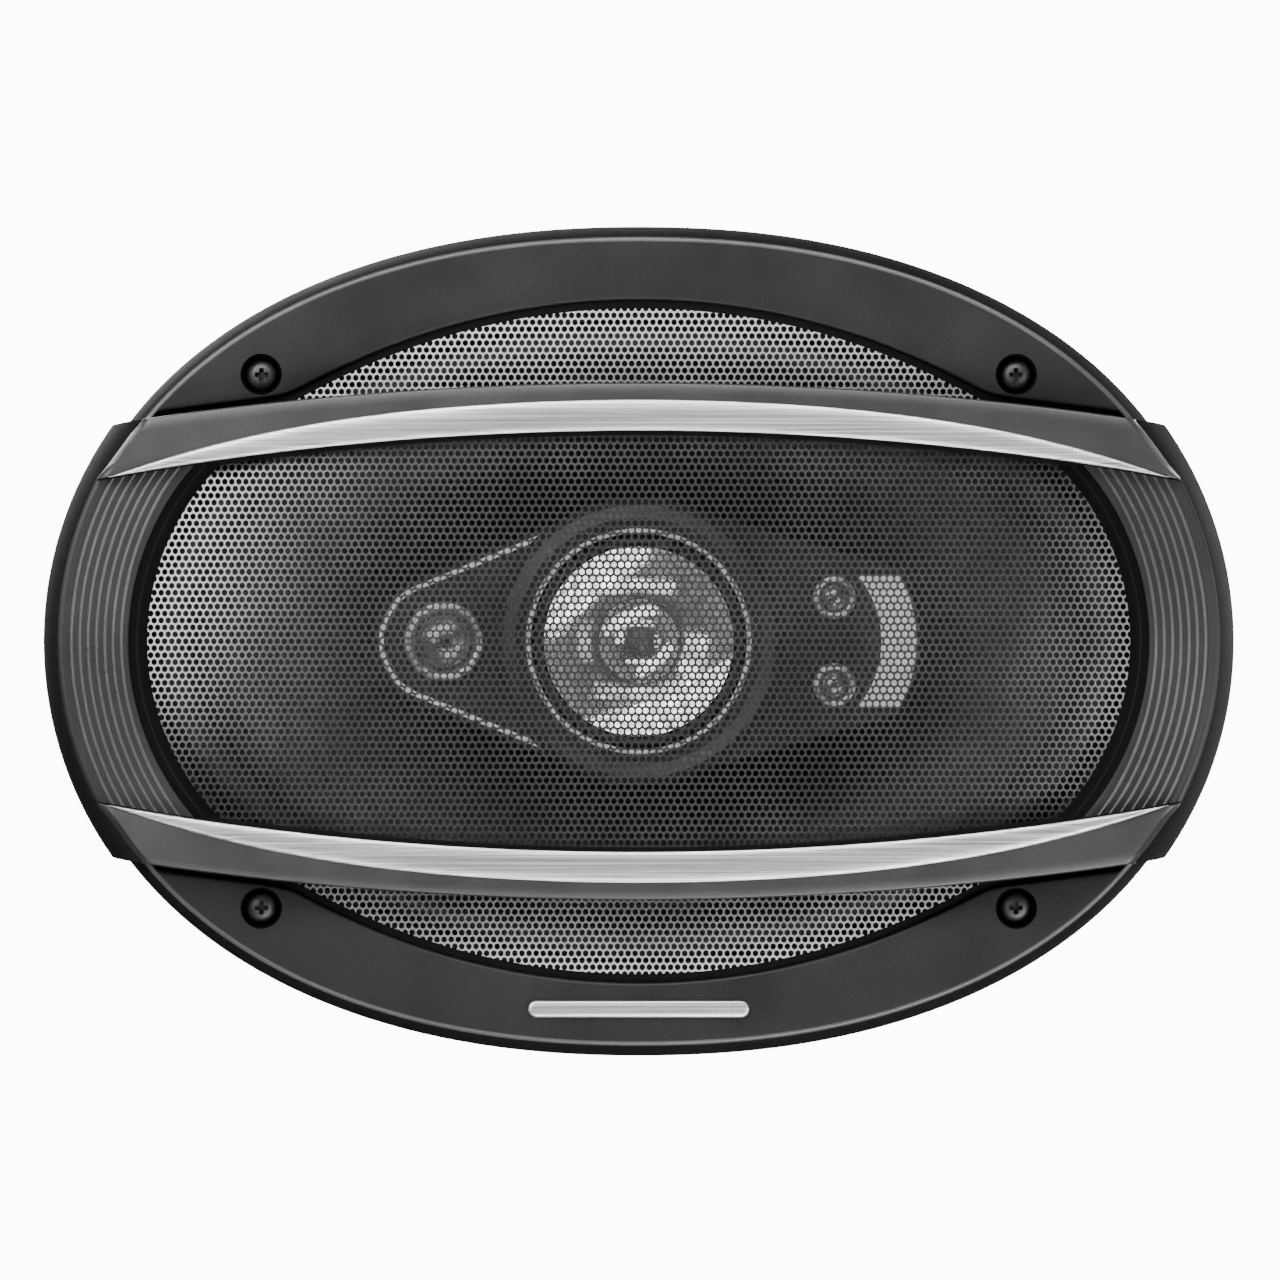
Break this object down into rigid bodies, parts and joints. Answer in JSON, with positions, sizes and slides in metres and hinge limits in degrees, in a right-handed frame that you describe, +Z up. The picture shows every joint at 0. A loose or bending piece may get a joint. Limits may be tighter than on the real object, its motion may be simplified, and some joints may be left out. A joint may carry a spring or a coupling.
{
  "type": "coaxial car speaker",
  "caption": "Oval coaxial car speaker with a domed mesh grille, silver trims, pod-mounted midrange and tweeters, open basket and rear magnet.",
  "frame": {"origin": "centre of the rear gasket's back face, which lies on the mounting panel", "axes": "+X along the speaker's long axis, +Y through the panel away from the listener, +Z up; the grille faces -Y"},
  "size_m": [0.2452, 0.1006, 0.1708],
  "materials": {
    "bezel_plastic": "satin dark grey moulding with a fine grain",
    "silver_trim": "brushed satin silver",
    "mesh_steel": "semi-gloss black paint on perforated steel",
    "black_screw": "black oxide",
    "foam": "closed-cell foam",
    "painted_steel": "semi-matte black powder coat",
    "pod_plastic": "fine matte texture",
    "butyl_rubber": "matte rubber",
    "cone_pulp": "dark fibre-filled pulp",
    "screen_cloth": "woven mesh",
    "former_paper": "varnished",
    "copper_wire": "enamelled winding",
    "spider_cloth": "resin-dipped cloth",
    "zinc_steel": "zinc plated",
    "ferrite": "ground ferrite",
    "bright_steel": "bright plated",
    "metal_film": "metallised film",
    "phenolic": "laminated board",
    "tab_brass": "plated",
    "tinsel_braid": "braided",
    "capacitor_sleeve": "heat-shrink sleeve",
    "red_wire": "wire insulation",
    "black_wire": "wire insulation"
  },
  "bodies": {
    "chassis": {"outer_bezel": "bezel_plastic", "centre_frame": "bezel_plastic", "upper_trim": "silver_trim", "lower_trim": "silver_trim", "grille_mesh": "mesh_steel", "badge_bar": "silver_trim", "mounting_screws": "black_screw", "rear_gasket": "foam", "basket": "painted_steel", "clamp_ring": "pod_plastic", "surround": "butyl_rubber", "spider": "spider_cloth", "top_plate": "zinc_steel", "magnet": "ferrite", "yoke": "zinc_steel", "basket_rivets": "bright_steel", "centre_post": "pod_plastic", "post_nut": "bright_steel", "pod_housing": "pod_plastic", "left_pod_cover": "pod_plastic", "right_pod_cover": "pod_plastic", "pod_trim_line": "silver_trim", "pod_strip": "silver_trim", "midrange_ring": "silver_trim", "midrange_surround": "butyl_rubber", "midrange_magnet": "bright_steel", "midrange_pole_plate": "zinc_steel", "midrange_cup": "zinc_steel", "tweeter_ring": "bright_steel", "tweeter_motor": "zinc_steel", "super_tweeter_rings": "bright_steel", "super_tweeter_motors": "zinc_steel", "terminal_board": "phenolic", "terminal_rivets": "bright_steel", "positive_tab": "tab_brass", "negative_tab": "tab_brass", "positive_tinsel": "tinsel_braid", "negative_tinsel": "tinsel_braid", "midrange_capacitor": "capacitor_sleeve", "tweeter_capacitor": "capacitor_sleeve", "positive_hf_lead": "red_wire", "negative_hf_lead": "black_wire"},
    "woofer_diaphragm": {"cone": "cone_pulp", "dust_screen": "screen_cloth", "coil_former": "former_paper", "voice_coil": "copper_wire"},
    "midrange_diaphragm": {"midrange_cone": "metal_film", "midrange_dust_cap": "metal_film", "midrange_coil": "copper_wire"},
    "tweeter_diaphragm": {"tweeter_dome": "metal_film"},
    "upper_super_diaphragm": {"upper_super_tweeter_dome": "metal_film"},
    "lower_super_diaphragm": {"lower_super_tweeter_dome": "metal_film"}
  },
  "joints": [
    {"name": "woofer_travel", "type": "slide", "parent": "chassis", "child": "woofer_diaphragm", "axis": [0, -1, 0], "range_m": [-0.004, 0.004], "stiffness_N_per_m": 2500, "deforming": ["surround", "spider", "positive_tinsel", "negative_tinsel"]},
    {"name": "midrange_travel", "type": "slide", "parent": "chassis", "child": "midrange_diaphragm", "axis": [0, -1, 0], "range_m": [-0.0008, 0.0008], "stiffness_N_per_m": 1500, "deforming": ["midrange_surround"]},
    {"name": "tweeter_travel", "type": "slide", "parent": "chassis", "child": "tweeter_diaphragm", "axis": [0, -1, 0], "range_m": [-0.0003, 0.0003], "stiffness_N_per_m": 800},
    {"name": "upper_super_travel", "type": "slide", "parent": "chassis", "child": "upper_super_diaphragm", "axis": [0, -1, 0], "range_m": [-0.0002, 0.0002], "stiffness_N_per_m": 800},
    {"name": "lower_super_travel", "type": "slide", "parent": "chassis", "child": "lower_super_diaphragm", "axis": [0, -1, 0], "range_m": [-0.0002, 0.0002], "stiffness_N_per_m": 800}
  ]
}
